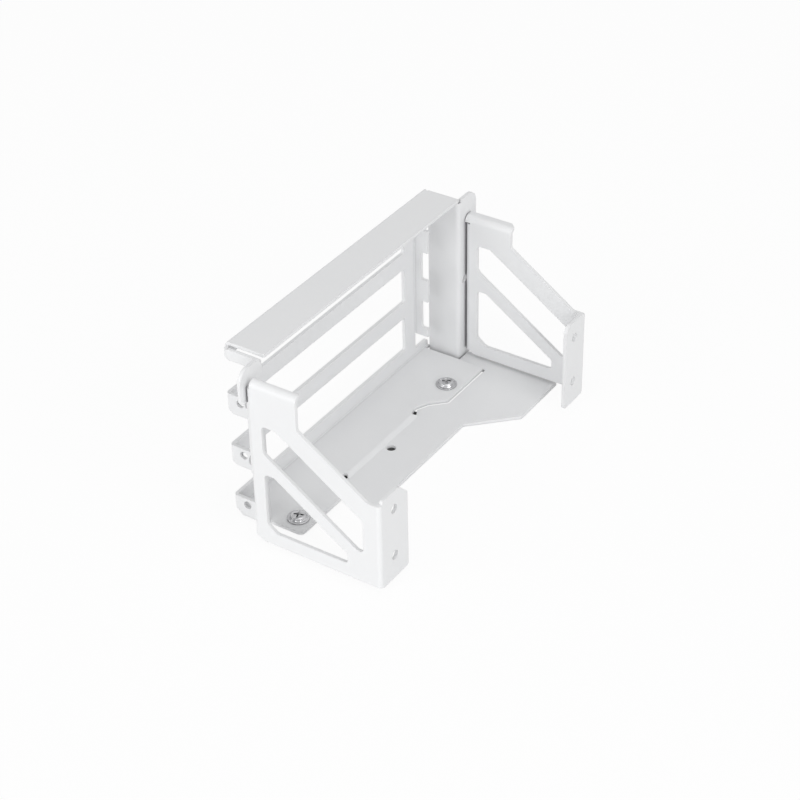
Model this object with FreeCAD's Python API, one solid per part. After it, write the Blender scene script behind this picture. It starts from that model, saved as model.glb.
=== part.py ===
import FreeCAD, Part
import math
import os

# A sheet-metal bracket that holds a graphics card: a slotted frame, two truss arms and their fixings.
# Millimetres throughout. While the pieces are drawn, x = 0 is the outer face of the slotted panel,
# y = 0 is the inner face of the screw tabs and z = 0 is the top of the base flange.

Vector = FreeCAD.Vector

# Sheet, folds and roundings
SHEET = 1.2
BEND_IN = 0.3
BEND_OUT = BEND_IN + SHEET
CUT_GAP = 0.5
EDGE_ROUND = 1.0
CORNER_ROUND = 1.5
WIDE_ROUND = 2.0
REACH = 20.0

# Slotted panel of the frame
SLOT_COUNT = 3
SLOT_PITCH = 20.32
SLOT_CORNER = 0.8
BAR_HEIGHT = 6.6
LOWEST_BAR_TOP = 5.81
TOP_RAIL_HEIGHT = 5.08
FRAME_TOP = LOWEST_BAR_TOP + SLOT_COUNT * SLOT_PITCH - BAR_HEIGHT + TOP_RAIL_HEIGHT
BAND_FACE_Y = 107.0
BAND_WIDTH = 6.6

# Top strip, screw tabs and near ear
STRIP_NEAR_Y = 0.5
STRIP_WIDTH = 15.1
TAB_FACE_Y = -SHEET
TAB_REACH_X = 12.9
TAB_HEIGHT = 7.4
TAB_SCREW_X = 5.6
TAB_SCREW_DROP = 2.5
TAB_SCREW_RADIUS = 1.45
STRIP_TAB_HEIGHT = 3.9
NEAR_EAR_Y = -12.2
NEAR_EAR_HEIGHT = 12.05
EAR_CORNER = 4.5
EAR_TAIL_INSET = 1.9
EAR_TAIL_MARGIN = 4.6

# Tongue flange beside the slots
TONGUE_LOW_Z = 9.3
TONGUE_REACH_X = 6.7
TONGUE_SLOT_X = 4.0
TONGUE_SLOT_RISE = 6.99
TONGUE_SLOT_HEIGHT = 11.3

# Far wall and far ear
BAND_TO_WALL = 7.5
WALL_FACE_Y = BAND_FACE_Y + BAND_TO_WALL
WALL_LEFT_X = 2.4
WALL_LOW_Z = -2.0
STRIP_CORNER_GAP = 0.5
FAR_EAR_REACH = 11.5
FAR_EAR_Y = WALL_FACE_Y + FAR_EAR_REACH
FAR_EAR_DROP = 0.9
EAR_EYE_INSET = 3.6
EAR_EYE_Z = 31.2
EAR_EYE_RADIUS = 1.6

# Base flange with its two riser tabs
BASE_NEAR_Y = 0.5
BASE_FAR_GAP = 1.9
BASE_FAR_Y = WALL_FACE_Y - BASE_FAR_GAP
BASE_LIP_Z = 2.4
BASE_LIP_FAR_Y = WALL_FACE_Y + 0.6
BASE_LIP_X = WALL_LEFT_X - 0.4
RISER_TAB_NEAR_Y = -0.4
RISER_TAB_LEFT_X = 13.7
RISER_TAB_X = 26.8
WAIST_X = 19.5
WAIST_RUN = 4.0
SHOULDER_X = 21.6
SHOULDER_RUN = 8.5
TURN_RUN = 13.85
NEAR_SHOULDER_Y = 28.0
NEAR_TURN_Y = 24.0
RISER_SCREW_X = 21.1
RISER_SCREW_NEAR_Y = 5.6
RISER_SCREW_PITCH = 90.9
RISER_SCREW_TURN = 20.0
COLLAR_RADIUS = 2.3

# Joggle between two round reliefs, and the shelf that the base steps down to
STEP_X = 20.7
STEP_NEAR_Y = 34.2
STEP_FAR_Y = 75.0
STEP_RUN = 1.6
STEP_LAP = 3.0
RELIEF_RADIUS = 0.85
SEAM = 0.5
SHELF_FRONT_X = 38.2
SHELF_TURN_Y = 80.4
SHELF_WIDE_X = 53.1
SHELF_WIDE_Y = 95.2
SHELF_LEFT_X = STRIP_WIDTH + 0.5
SHELF_FAR_LAP = 2.4
SHELF_HOLE_X = 24.6
SHELF_HOLE_Y = 55.4
SHELF_HOLE_RADIUS = 1.7

# Both arms; the heights of the sloping edges are those at the front face
ARM_FRONT_X = 64.3
ARM_HEAD_X = 34.1
ARM_SLOPE = 0.684
OUTER_EDGE_Z = 28.97
UPPER_WINDOW_ROOF_Z = 19.92
UPPER_WINDOW_SILL_Z = 5.82
LOWER_WINDOW_ROOF_Z = 0.22
WINDOW_INSET = 5.35
UPPER_WINDOW_TOP_RUN = 5.28
UPPER_WINDOW_FRONT = 6.5
UPPER_WINDOW_LOW_Z = 11.9
LOWER_WINDOW_TOP_RUN = 3.82
LOWER_WINDOW_FRONT = 12.6
LOWER_WINDOW_LOW_Z = 4.95
WINDOW_CORNER = 1.5
WINDOW_EASE = 2.6
WINDOW_CHAMFER_X = 3.6
WINDOW_CHAMFER_Z = 2.7
ARM_CHAMFER_X = 3.9
ARM_CHAMFER_Z = 1.25
LIP_BEND = 1.1
LIP_TURN = LIP_BEND + SHEET
REAR_TOP_DROP = LIP_TURN + CUT_GAP
FRONT_TOP_Z = 33.6
FRONT_FOLD_DROP = 1.4
FRONT_LOW_Z = -0.4
FRONT_CORNER = 2.5
CASE_HOLE_COUNT = 2
CASE_HOLE_INSET = 8.0
CASE_HOLE_LOW_Z = 8.5
CASE_HOLE_PITCH = 18.3
CASE_HOLE_RADIUS = 1.65
ARM_SCREW_LOW_Z = 28.1

# Near arm
NEAR_ARM_FACE_Y = -9.95
NEAR_ARM_TOP_Z = 61.7
NEAR_LIP = 2.8
NEAR_LIP_GAP = 1.5
NEAR_REAR_WIDTH = 7.25
NEAR_REAR_BEND = BEND_IN
NEAR_REAR_DROP = 7.2
NEAR_FRONT_WIDTH = 15.55
NEAR_FRONT_DROP = 4.7
NEAR_SCREW_INSET = 4.6
NEAR_SCREW_DROP = 11.7

# Far arm
FAR_ARM_SETBACK = 3.7
FAR_ARM_FACE_Y = WALL_FACE_Y + FAR_ARM_SETBACK
FAR_ARM_TOP_Z = 57.0
FAR_LIP = 4.2
FAR_LIP_GAP = 0.3
FAR_REAR_WIDTH = 7.6
FAR_REAR_BEND = 1.1
FAR_REAR_DROP = 5.5
FAR_FRONT_WIDTH = 13.7
FAR_FRONT_DROP = 2.0
FAR_SCREW_INSET = 4.9
FAR_SCREW_DROP = 10.0

# Screws and press nuts
THREAD_RADIUS = 1.5
CLEARANCE_RADIUS = 1.7
RISER_HEAD_RADIUS = 3.0
RISER_HEAD_HEIGHT = 1.7
RISER_WASHER_RADIUS = 3.8
RISER_WASHER_HEIGHT = 0.5
ARM_HEAD_RADIUS = 2.6
ARM_HEAD_HEIGHT = 1.6
HEAD_EDGE = 0.7
CROSS_MARGIN = 0.9
CROSS_WIDTH = 0.85
CROSS_DEPTH = 1.0
NUT_RADIUS = 2.55
NUT_HEIGHT = 1.5
NUT_BARREL_RADIUS = 2.1
NUT_EDGE = 0.25

# How flat outlines are placed: a corner (a, b) at a level, and the direction it is thickened in
PLANES = {
    "XY": (lambda a, b, level: Vector(a, b, level), Vector(0, 0, 1)),
    "XZ": (lambda a, b, level: Vector(a, level, b), Vector(0, 1, 0)),
    "YZ": (lambda a, b, level: Vector(level, a, b), Vector(1, 0, 0)),
}


def eased_corner(before, here, after, radius):
    """Start, middle and stop of the arc that rounds one corner of an outline."""
    to_before = (before - here).normalize()
    to_after = (after - here).normalize()
    half = to_before.getAngle(to_after) / 2.0
    run = radius / math.tan(half)
    inward = (to_before + to_after).normalize()
    middle = here + inward * (radius / math.sin(half) - radius)
    return here + to_before * run, middle, here + to_after * run


def plate(plane, level, thickness, corners):
    """Flat sheet from corners (a, b, rounding) in a plane, thickened upwards from the level."""
    place, normal = PLANES[plane]
    points = [place(a, b, level) for a, b, _ in corners]
    edges = []
    stops = []
    for index, (_, _, radius) in enumerate(corners):
        here = points[index]
        if radius == 0:
            stops.append((here, here))
            continue
        after = points[(index + 1) % len(points)]
        start, middle, stop = eased_corner(points[index - 1], here, after, radius)
        edges.append(Part.Arc(start, middle, stop).toShape())
        stops.append((start, stop))
    for index, (_, stop) in enumerate(stops):
        following = stops[(index + 1) % len(stops)][0]
        edges.append(Part.makeLine(stop, following))
    wire = Part.Wire(Part.__sortEdges__(edges))
    return Part.Face(wire).extrude(normal * thickness)


def rectangle(plane, level, thickness, low, high, rounding=0.0):
    """Flat rectangular sheet between two opposite corners."""
    corners = [
        (low[0], low[1], rounding),
        (high[0], low[1], rounding),
        (high[0], high[1], rounding),
        (low[0], high[1], rounding),
    ]
    return plate(plane, level, thickness, corners)


def fold(plane, start, stop, centre, quadrant, inner=BEND_IN):
    """Quarter-round fold of the sheet, run between two levels along the plane's normal."""
    place, normal = PLANES[plane]
    a, b = centre
    turn_a, turn_b = quadrant
    arcs = []
    outer = inner + SHEET
    for radius in (inner, outer):
        slant = radius * math.sqrt(0.5)
        first = place(a + turn_a * radius, b, start)
        middle = place(a + turn_a * slant, b + turn_b * slant, start)
        last = place(a, b + turn_b * radius, start)
        arcs.append(Part.Arc(first, middle, last).toShape())
    foot = Part.makeLine(place(a + turn_a * inner, b, start), place(a + turn_a * outer, b, start))
    head = Part.makeLine(place(a, b + turn_b * inner, start), place(a, b + turn_b * outer, start))
    wire = Part.Wire(Part.__sortEdges__(arcs + [foot, head]))
    return Part.Face(wire).extrude(normal * (stop - start))


def drill(point, direction, radius, length):
    """Straight round cutter or rod."""
    return Part.makeCylinder(radius, length, Vector(*point), Vector(*direction))


def joined(pieces):
    """One solid out of overlapping or touching pieces."""
    return pieces[0].multiFuse(pieces[1:]).removeSplitter()


def bar_top(index):
    """Top of the bar below slot number index, counted from the bottom."""
    return LOWEST_BAR_TOP + SLOT_PITCH * index


def panel():
    """Upright panel; its slots run out at the near end, which leaves the bars as fingers."""
    low = BEND_OUT - SHEET
    high = FRAME_TOP - BEND_OUT
    fold_line = BAND_FACE_Y - BEND_IN
    corners = [
        (BEND_OUT + TAB_FACE_Y, low, 0),
        (BASE_LIP_FAR_Y, low, 0),
        (BASE_LIP_FAR_Y, BASE_LIP_Z, EDGE_ROUND),
        (BAND_FACE_Y, BASE_LIP_Z, 0),
        (BAND_FACE_Y, TONGUE_LOW_Z - CUT_GAP, 0),
        (fold_line, TONGUE_LOW_Z - CUT_GAP, 0),
        (fold_line, high, 0),
        (BEND_OUT + TAB_FACE_Y, high, 0),
    ]
    body = plate("YZ", 0, SHEET, corners)
    slots = []
    for index in range(SLOT_COUNT):
        floor = bar_top(index)
        roof = floor + SLOT_PITCH - BAR_HEIGHT
        end_y = BAND_FACE_Y - BAND_WIDTH
        slots.append(rectangle("YZ", 0, SHEET, (-REACH, floor), (end_y, roof), SLOT_CORNER))
    return body.cut(slots)


def tab_outline(low, root, top, reach):
    """Tab hanging below the bar it grows from, eased where it leaves the fold."""
    return [
        (BEND_OUT, root, 0),
        (BEND_OUT + root - low, low, EDGE_ROUND),
        (reach, low, EDGE_ROUND),
        (reach, top, EDGE_ROUND),
        (BEND_OUT, top, 0),
    ]


def screw_tabs():
    """Three tapped tabs folded in from the near ends of the bars."""
    pieces = []
    holes = []
    for index in range(SLOT_COUNT):
        top = bar_top(index)
        low = top - TAB_HEIGHT
        root = max(top - BAR_HEIGHT, BEND_OUT - SHEET)
        pieces.append(fold("XY", root, top, (BEND_OUT, BEND_OUT + TAB_FACE_Y), (-1, -1)))
        pieces.append(plate("XZ", TAB_FACE_Y, SHEET, tab_outline(low, root, top, TAB_REACH_X)))
        centre = (TAB_SCREW_X, -REACH, top - TAB_SCREW_DROP)
        holes.append(drill(centre, (0, 1, 0), TAB_SCREW_RADIUS, 2 * REACH))
    return pieces, holes


def near_ear():
    """Tab under the strip, turned outwards into the ear that carries the near arm."""
    top = FRAME_TOP - SHEET - CUT_GAP
    low = top - STRIP_TAB_HEIGHT
    root = FRAME_TOP - TOP_RAIL_HEIGHT
    turn_x = STRIP_WIDTH - BEND_OUT
    turn_y = -BEND_OUT
    fold_top = FRAME_TOP - BEND_OUT - CUT_GAP
    ear_low = FRAME_TOP - NEAR_EAR_HEIGHT
    tail_y = NEAR_ARM_FACE_Y + EAR_TAIL_INSET
    tail_low = ARM_SCREW_LOW_Z - EAR_TAIL_MARGIN
    outline = [
        (BEND_OUT, root, 0),
        (BEND_OUT + root - low, low, EDGE_ROUND),
        (turn_x, low, 0),
        (turn_x, top, 0),
        (BEND_OUT + CUT_GAP, top, 0),
        (BEND_OUT, fold_top, 0),
    ]
    ear = [
        (turn_y, low, 0),
        (turn_y, top, 0),
        (turn_y - CUT_GAP, FRAME_TOP, 0),
        (NEAR_EAR_Y, FRAME_TOP, EAR_CORNER),
        (NEAR_EAR_Y, ear_low, CORNER_ROUND),
        (tail_y, ear_low, 0),
        (tail_y, tail_low, CORNER_ROUND),
        (turn_y - CUT_GAP, tail_low, CORNER_ROUND),
        (turn_y - CUT_GAP, low, 0),
    ]
    return [
        fold("XY", root, fold_top, (BEND_OUT, BEND_OUT + TAB_FACE_Y), (-1, -1)),
        plate("XZ", TAB_FACE_Y, SHEET, outline),
        fold("XY", low, top, (turn_x, turn_y), (1, 1)),
        plate("YZ", STRIP_WIDTH - SHEET, SHEET, ear),
    ]


def top_strip():
    """Strip along the top of the panel and the folds on its long side and its far end."""
    far = WALL_FACE_Y + SHEET
    turn_y = far - BEND_OUT
    turn_z = FRAME_TOP - BEND_OUT
    outline = [
        (BEND_OUT, STRIP_NEAR_Y, 0),
        (STRIP_WIDTH, STRIP_NEAR_Y, CUT_GAP),
        (STRIP_WIDTH, turn_y, 0),
        (BEND_OUT, turn_y, 0),
    ]
    return [
        fold("XZ", STRIP_NEAR_Y, turn_y + CUT_GAP, (BEND_OUT, turn_z), (-1, 1)),
        plate("XY", FRAME_TOP - SHEET, SHEET, outline),
        fold("YZ", WALL_LEFT_X, STRIP_WIDTH - STRIP_CORNER_GAP, (turn_y, turn_z), (1, 1)),
    ]


def tongue_flange():
    """Narrow flange beside the slots, notched to take the tongue of each card plate."""
    turn = BAND_FACE_Y - BEND_IN
    top = FRAME_TOP - BEND_OUT - CUT_GAP
    flange = rectangle("XZ", BAND_FACE_Y, SHEET, (BEND_OUT, TONGUE_LOW_Z), (TONGUE_REACH_X, top))
    notches = []
    for index in range(SLOT_COUNT):
        low = bar_top(index) + TONGUE_SLOT_RISE
        corner = (TONGUE_REACH_X + REACH, low + TONGUE_SLOT_HEIGHT)
        notches.append(rectangle("XZ", BAND_FACE_Y, SHEET, (TONGUE_SLOT_X, low), corner, SLOT_CORNER))
    return [
        fold("XY", TONGUE_LOW_Z, top, (BEND_OUT, turn), (-1, 1)),
        flange.cut(notches),
    ]


def far_wall():
    """Far end wall below the strip, and the ear it turns into for the far arm."""
    turn_x = STRIP_WIDTH - BEND_OUT
    turn_y = WALL_FACE_Y + BEND_OUT
    turn_z = FRAME_TOP - BEND_OUT
    ear = [
        (turn_y, WALL_LOW_Z, 0),
        (FAR_EAR_Y, WALL_LOW_Z, CORNER_ROUND),
        (FAR_EAR_Y, FRAME_TOP - FAR_EAR_DROP, EAR_CORNER),
        (turn_y, FRAME_TOP - FAR_EAR_DROP, 0),
    ]
    eye = drill((0, WALL_FACE_Y + EAR_EYE_INSET, EAR_EYE_Z), (1, 0, 0), EAR_EYE_RADIUS, REACH)
    return [
        rectangle("XZ", WALL_FACE_Y, SHEET, (WALL_LEFT_X, WALL_LOW_Z), (turn_x, turn_z)),
        fold("XY", WALL_LOW_Z, turn_z - CUT_GAP, (turn_x, turn_y), (1, -1)).cut([eye]),
        plate("YZ", STRIP_WIDTH - SHEET, SHEET, ear).cut([eye]),
    ]


def base_outline():
    """Base flange with a riser tab at each end and a waist between them."""
    relief_x = STEP_X - RELIEF_RADIUS
    return [
        (BEND_OUT, BASE_NEAR_Y, 0),
        (RISER_TAB_LEFT_X, BASE_NEAR_Y, CUT_GAP),
        (RISER_TAB_LEFT_X, RISER_TAB_NEAR_Y, EDGE_ROUND),
        (RISER_TAB_X, RISER_TAB_NEAR_Y, WIDE_ROUND),
        (RISER_TAB_X, NEAR_TURN_Y, CUT_GAP),
        (SHOULDER_X, NEAR_SHOULDER_Y, EDGE_ROUND),
        (WAIST_X, STEP_NEAR_Y - WAIST_RUN, EDGE_ROUND),
        (relief_x, STEP_NEAR_Y - RELIEF_RADIUS, 0),
        (relief_x, STEP_FAR_Y + RELIEF_RADIUS, 0),
        (WAIST_X, STEP_FAR_Y + WAIST_RUN, EDGE_ROUND),
        (SHOULDER_X, STEP_FAR_Y + SHOULDER_RUN, WIDE_ROUND),
        (RISER_TAB_X, STEP_FAR_Y + TURN_RUN, EDGE_ROUND),
        (RISER_TAB_X, BASE_FAR_Y, CUT_GAP),
        (BASE_LIP_X, BASE_FAR_Y, 0),
        (BASE_LIP_X, BASE_LIP_FAR_Y, 0),
        (BEND_OUT, BASE_LIP_FAR_Y, 0),
    ]


def shelf_outline():
    """Lower shelf; its left side follows both riser tabs with a narrow seam between them."""
    foot_x = STEP_X + STEP_RUN + BEND_IN
    relief_x = STEP_X + RELIEF_RADIUS
    far_y = FAR_ARM_FACE_Y + SHELF_FAR_LAP
    seam_y = STEP_FAR_Y - SEAM / 2
    return [
        (foot_x, STEP_NEAR_Y - RELIEF_RADIUS, 0),
        (relief_x, STEP_NEAR_Y - RELIEF_RADIUS, 0),
        (WAIST_X + SEAM, STEP_NEAR_Y - WAIST_RUN, 0),
        (SHOULDER_X + SEAM, NEAR_SHOULDER_Y + SEAM / 2, EDGE_ROUND),
        (RISER_TAB_X + 2 * SEAM, NEAR_TURN_Y, 0),
        (SHELF_FRONT_X, NEAR_TURN_Y, CORNER_ROUND),
        (SHELF_FRONT_X, SHELF_TURN_Y, EDGE_ROUND),
        (SHELF_WIDE_X, SHELF_WIDE_Y, CORNER_ROUND),
        (SHELF_WIDE_X, far_y, EDGE_ROUND),
        (SHELF_LEFT_X, far_y, EDGE_ROUND),
        (SHELF_LEFT_X, BASE_FAR_Y + SEAM, 0),
        (RISER_TAB_X + SEAM, BASE_FAR_Y + SEAM, 0),
        (RISER_TAB_X + SEAM, seam_y + TURN_RUN, EDGE_ROUND),
        (SHOULDER_X + SEAM, seam_y + SHOULDER_RUN, WIDE_ROUND),
        (WAIST_X + SEAM, STEP_FAR_Y + WAIST_RUN, 0),
        (relief_x, STEP_FAR_Y + RELIEF_RADIUS, 0),
        (foot_x, STEP_FAR_Y + RELIEF_RADIUS, 0),
    ]


def step_down():
    """Joggle that lowers the shelf by one sheet, between the middles of the two relief holes."""
    foot_x = STEP_X + STEP_RUN
    lean = SHEET * math.tan(math.atan2(SHEET, STEP_RUN) / 2.0)
    corners = [
        (STEP_X - STEP_LAP, 0, 0),
        (STEP_X, 0, BEND_OUT),
        (foot_x, -SHEET, BEND_IN),
        (foot_x + STEP_LAP, -SHEET, 0),
        (foot_x + STEP_LAP, -2 * SHEET, 0),
        (foot_x - lean, -2 * SHEET, BEND_OUT),
        (STEP_X - lean, -SHEET, BEND_IN),
        (STEP_X - STEP_LAP, -SHEET, 0),
    ]
    near_y = STEP_NEAR_Y - RELIEF_RADIUS
    return plate("XZ", near_y, STEP_FAR_Y + RELIEF_RADIUS - near_y, corners)


def riser_screw_spots():
    """Position along y of each riser screw, by name."""
    return {"near": RISER_SCREW_NEAR_Y, "far": RISER_SCREW_NEAR_Y + RISER_SCREW_PITCH}


def base_and_shelf():
    """Floor of the frame, with its folds, collars and round cut-outs."""
    reliefs = (STEP_NEAR_Y - RELIEF_RADIUS, STEP_FAR_Y + RELIEF_RADIUS)
    pieces = [
        fold("XZ", BASE_NEAR_Y, BASE_LIP_FAR_Y, (BEND_OUT, BEND_OUT - SHEET), (-1, -1)),
        plate("XY", -SHEET, SHEET, base_outline()),
        step_down(),
        plate("XY", -2 * SHEET, SHEET, shelf_outline()),
    ]
    holes = [drill((STEP_X, y, -REACH), (0, 0, 1), RELIEF_RADIUS, 2 * REACH) for y in reliefs]
    for y in riser_screw_spots().values():
        pieces.append(drill((RISER_SCREW_X, y, -2 * SHEET), (0, 0, 1), COLLAR_RADIUS, SHEET))
        holes.append(drill((RISER_SCREW_X, y, -REACH), (0, 0, 1), THREAD_RADIUS, 2 * REACH))
    shelf_hole = (SHELF_HOLE_X, SHELF_HOLE_Y, -REACH)
    holes.append(drill(shelf_hole, (0, 0, 1), SHELF_HOLE_RADIUS, 2 * REACH))
    return pieces, holes


def near_arm_screws():
    """Position (y, z) of the two screws that hold the near arm."""
    y = NEAR_ARM_FACE_Y + NEAR_SCREW_INSET
    return {"lower": (y, ARM_SCREW_LOW_Z), "upper": (y, NEAR_ARM_TOP_Z - NEAR_SCREW_DROP)}


def far_arm_screws():
    """Position (y, z) of the two screws that hold the far arm."""
    y = FAR_ARM_FACE_Y + FAR_SCREW_INSET
    return {"lower": (y, ARM_SCREW_LOW_Z), "upper": (y, FAR_ARM_TOP_Z - FAR_SCREW_DROP)}


def slot_frame():
    """The whole frame, folded from one sheet."""
    tabs, tab_holes = screw_tabs()
    floor, floor_holes = base_and_shelf()
    pieces = [panel()] + tabs + near_ear() + top_strip() + tongue_flange() + far_wall() + floor
    holes = tab_holes + floor_holes
    for y, z in list(near_arm_screws().values()) + list(far_arm_screws().values()):
        holes.append(drill((STRIP_WIDTH - REACH / 2, y, z), (1, 0, 0), CLEARANCE_RADIUS, REACH))
    return joined(pieces).cut(holes).removeSplitter()


def on_slope(level, x):
    """Height at x of a truss edge that meets the arm's front face at the given level."""
    return level + ARM_SLOPE * (ARM_FRONT_X - x)


def upper_window():
    """Upper window of a truss, a slanting band between two sloping edges."""
    left = STRIP_WIDTH + WINDOW_INSET
    roof_x = left + UPPER_WINDOW_TOP_RUN
    right = ARM_FRONT_X - UPPER_WINDOW_FRONT
    tip_x = ARM_FRONT_X - (UPPER_WINDOW_LOW_Z - UPPER_WINDOW_SILL_Z) / ARM_SLOPE
    top = on_slope(UPPER_WINDOW_ROOF_Z, roof_x)
    return [
        (left, top, WINDOW_CORNER),
        (left, on_slope(UPPER_WINDOW_SILL_Z, left), WINDOW_EASE),
        (tip_x, UPPER_WINDOW_LOW_Z, WINDOW_CORNER),
        (right, UPPER_WINDOW_LOW_Z, WINDOW_CORNER),
        (right, on_slope(UPPER_WINDOW_ROOF_Z, right), WINDOW_CORNER),
        (roof_x, top, WINDOW_EASE),
    ]


def lower_window():
    """Lower window of a truss, a triangle with its ends cut off."""
    left = STRIP_WIDTH + WINDOW_INSET
    roof_x = left + LOWER_WINDOW_TOP_RUN
    right = ARM_FRONT_X - LOWER_WINDOW_FRONT
    top = on_slope(LOWER_WINDOW_ROOF_Z, roof_x)
    return [
        (left, top, WINDOW_CORNER),
        (left, LOWER_WINDOW_LOW_Z + WINDOW_CHAMFER_Z, WINDOW_EASE),
        (left + WINDOW_CHAMFER_X, LOWER_WINDOW_LOW_Z, WINDOW_EASE),
        (right, LOWER_WINDOW_LOW_Z, WINDOW_CORNER),
        (right, on_slope(LOWER_WINDOW_ROOF_Z, right), WINDOW_CORNER),
        (roof_x, top, WINDOW_EASE),
    ]


def truss_web(face_y, top_z, rear_bend):
    """Truss of one arm with its two windows; the folds start at its left, front and top edges."""
    left = STRIP_WIDTH + rear_bend + SHEET
    front = ARM_FRONT_X - BEND_OUT
    fold_z = top_z - LIP_TURN
    shoulder_z = FRONT_TOP_Z - FRONT_FOLD_DROP
    shoulder_x = ARM_FRONT_X - (shoulder_z - OUTER_EDGE_Z) / ARM_SLOPE
    outline = [
        (left, ARM_CHAMFER_Z, 0),
        (STRIP_WIDTH + ARM_CHAMFER_X, 0, 0),
        (front, 0, 0),
        (front, shoulder_z, 0),
        (shoulder_x, shoulder_z, WINDOW_EASE),
        (ARM_HEAD_X, on_slope(OUTER_EDGE_Z, ARM_HEAD_X), EDGE_ROUND),
        (ARM_HEAD_X, fold_z, 0),
        (left, fold_z, 0),
    ]
    windows = [plate("XZ", face_y, SHEET, corners) for corners in (upper_window(), lower_window())]
    return plate("XZ", face_y, SHEET, outline).cut(windows)


def rear_flange(face_y, top_z, width, free_drop, rear_bend):
    """Flange of an arm that lies flat against the ear, with its fold; its top slopes to the free edge."""
    reach = rear_bend + SHEET
    turn_y = face_y + reach
    top = top_z - REAR_TOP_DROP
    flange = [
        (turn_y, ARM_CHAMFER_Z, 0),
        (face_y + width, ARM_CHAMFER_Z, EDGE_ROUND),
        (face_y + width, top_z - free_drop, EDGE_ROUND),
        (turn_y, top, 0),
    ]
    return [
        fold("XY", ARM_CHAMFER_Z, top, (STRIP_WIDTH + reach, turn_y), (-1, -1), rear_bend),
        plate("YZ", STRIP_WIDTH, SHEET, flange),
    ]


def top_lip(face_y, top_z, depth, gap):
    """Lip along the top of an arm, with its fold; it stops short of the ear, and its free end is slanted."""
    turn_y = face_y + LIP_TURN
    turn_z = top_z - LIP_TURN
    left = STRIP_WIDTH + gap
    slant = depth - LIP_TURN
    outline = [
        (left, turn_y, 0),
        (ARM_HEAD_X, turn_y, 0),
        (ARM_HEAD_X - slant, face_y + depth, CUT_GAP),
        (left, face_y + depth, 0),
    ]
    return [
        fold("YZ", left, ARM_HEAD_X, (turn_y, turn_z), (-1, 1), LIP_BEND),
        plate("XY", top_z - SHEET, SHEET, outline),
    ]


def front_flange(outer_y, side, width, free_drop):
    """Flange of an arm that bolts to the case, turned to one side of the truss's outer face."""
    turn_y = outer_y + side * BEND_OUT
    end_y = outer_y + side * width
    face_x = ARM_FRONT_X - SHEET
    flange = [
        (turn_y, FRONT_LOW_Z, 0),
        (end_y, FRONT_LOW_Z, EDGE_ROUND),
        (end_y, FRONT_TOP_Z - free_drop, CORNER_ROUND),
        (end_y - side * free_drop, FRONT_TOP_Z, FRONT_CORNER),
        (turn_y, FRONT_TOP_Z, EDGE_ROUND),
    ]
    holes = []
    for index in range(CASE_HOLE_COUNT):
        z = CASE_HOLE_LOW_Z + CASE_HOLE_PITCH * index
        start = (face_x - REACH / 2, outer_y + side * CASE_HOLE_INSET, z)
        holes.append(drill(start, (1, 0, 0), CASE_HOLE_RADIUS, REACH))
    fold_top = FRONT_TOP_Z - FRONT_FOLD_DROP
    return [
        fold("XY", 0, fold_top, (ARM_FRONT_X - BEND_OUT, turn_y), (1, -side)),
        plate("YZ", face_x, SHEET, flange).cut(holes),
    ]


def with_nut_holes(pieces, screws):
    """One arm out of its pieces, with a hole in the rear flange for each press nut."""
    holes = []
    for y, z in screws.values():
        holes.append(drill((STRIP_WIDTH - SHEET, y, z), (1, 0, 0), NUT_BARREL_RADIUS, 3 * SHEET))
    return joined(pieces).cut(holes)


def near_arm():
    """Arm at the near end; its front flange turns inwards over the riser tab."""
    pieces = [truss_web(NEAR_ARM_FACE_Y, NEAR_ARM_TOP_Z, NEAR_REAR_BEND)]
    rear = (NEAR_REAR_WIDTH, NEAR_REAR_DROP, NEAR_REAR_BEND)
    pieces += rear_flange(NEAR_ARM_FACE_Y, NEAR_ARM_TOP_Z, *rear)
    pieces += top_lip(NEAR_ARM_FACE_Y, NEAR_ARM_TOP_Z, NEAR_LIP, NEAR_LIP_GAP)
    pieces += front_flange(NEAR_ARM_FACE_Y, 1, NEAR_FRONT_WIDTH, NEAR_FRONT_DROP)
    return with_nut_holes(pieces, near_arm_screws())


def far_arm():
    """Arm at the far end; its front flange turns back towards the near end."""
    pieces = [truss_web(FAR_ARM_FACE_Y, FAR_ARM_TOP_Z, FAR_REAR_BEND)]
    rear = (FAR_REAR_WIDTH, FAR_REAR_DROP, FAR_REAR_BEND)
    pieces += rear_flange(FAR_ARM_FACE_Y, FAR_ARM_TOP_Z, *rear)
    pieces += top_lip(FAR_ARM_FACE_Y, FAR_ARM_TOP_Z, FAR_LIP, FAR_LIP_GAP)
    pieces += front_flange(FAR_ARM_FACE_Y + SHEET, -1, FAR_FRONT_WIDTH, FAR_FRONT_DROP)
    return with_nut_holes(pieces, far_arm_screws())


def pan_screw(head_radius, head_height, length, washer=None):
    """Cross-recessed pan-head screw standing on z = 0, thread down, with its washer if it has one."""
    head = Part.makeCylinder(head_radius, head_height)
    rim = [edge for edge in head.Edges if edge.Closed and edge.CenterOfMass.z > head_height / 2]
    head = head.makeFillet(HEAD_EDGE, rim)
    shank = Part.makeCylinder(THREAD_RADIUS, length, Vector(0, 0, -length))
    body = head.fuse([shank, washer] if washer else [shank]).removeSplitter()
    span = 2 * (head_radius - CROSS_MARGIN)
    floor = head_height - CROSS_DEPTH
    bars = []
    for along, across in ((span, CROSS_WIDTH), (CROSS_WIDTH, span)):
        corner = Vector(-along / 2, -across / 2, floor)
        bars.append(Part.makeBox(along, across, CROSS_DEPTH, corner))
    return body.cut(bars)


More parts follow.
